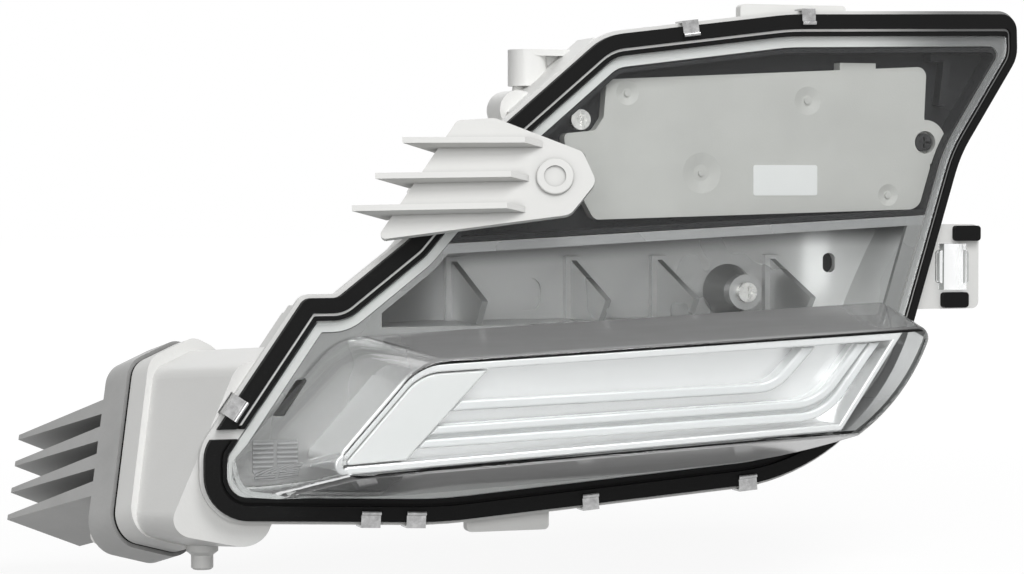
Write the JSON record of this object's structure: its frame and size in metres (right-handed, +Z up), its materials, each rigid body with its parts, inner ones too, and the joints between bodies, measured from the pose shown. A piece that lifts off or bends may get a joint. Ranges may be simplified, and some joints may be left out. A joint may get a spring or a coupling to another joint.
{
  "type": "daytime running light",
  "caption": "Car front corner lamp: slanted grey housing with rubber seal, clear cover bulging over the running light, plated driver tray, finned heat sink and ribbed arm.",
  "frame": {"origin": "axis of the upper lug's bore at its top face", "axes": "+Z up along the lug's bore, the clear cover faces -Y, +X towards the lamp's tall outer end"},
  "size_m": [0.417, 0.1715, 0.2303],
  "materials": {
    "housing": "satin moulded",
    "seal": "matt rubber",
    "clear_cover": "clear moulded",
    "spring_steel": "bright spring steel",
    "arm": "satin moulded",
    "screw_steel": "zinc plated",
    "dark_bezel": "matt dark grey",
    "driver_plate": "matt warm grey",
    "dark_screw": "black plated",
    "label": "paper, without print",
    "board": "green solder mask",
    "chips": "matt black",
    "plug": "cream moulded",
    "inner_panel": "satin metallised",
    "bright_reflector": "bright metallised",
    "white_diffuser": "milky white",
    "light_guide": "clear polished",
    "sink_metal": "die cast",
    "pad": "soft grey",
    "led_board": "white solder mask",
    "led": "phosphor",
    "connector": "matt black",
    "pins": "tin plated brass",
    "vent": "matt black"
  },
  "bodies": {
    "root": {"rear_housing": "housing", "perimeter_seal": "seal", "cover_lens": "clear_cover", "lens_clips": "spring_steel", "mounting_arm": "arm", "arm_screws": "screw_steel", "lug_bush": "screw_steel", "upper_bezel": "dark_bezel", "driver_cover": "driver_plate", "cover_screw": "dark_screw", "tray_screw": "screw_steel", "driver_label": "label", "driver_board": "board", "driver_parts": "chips", "driver_plug": "plug", "inner_bezel": "inner_panel", "bezel_screw": "screw_steel", "reflector": "bright_reflector", "diffuser": "white_diffuser", "outer_light_guide": "light_guide", "inner_light_guide": "light_guide", "side_flutes": "bright_reflector", "heat_sink": "sink_metal", "sink_gasket": "seal", "sink_screws": "screw_steel", "thermal_pad": "pad", "led_board": "led_board", "leds": "led", "collimator": "light_guide", "side_latch": "clear_cover", "latch_pads": "seal", "rear_connector": "connector", "connector_pins": "pins", "vent_cap": "vent"}
  },
  "joints": []
}
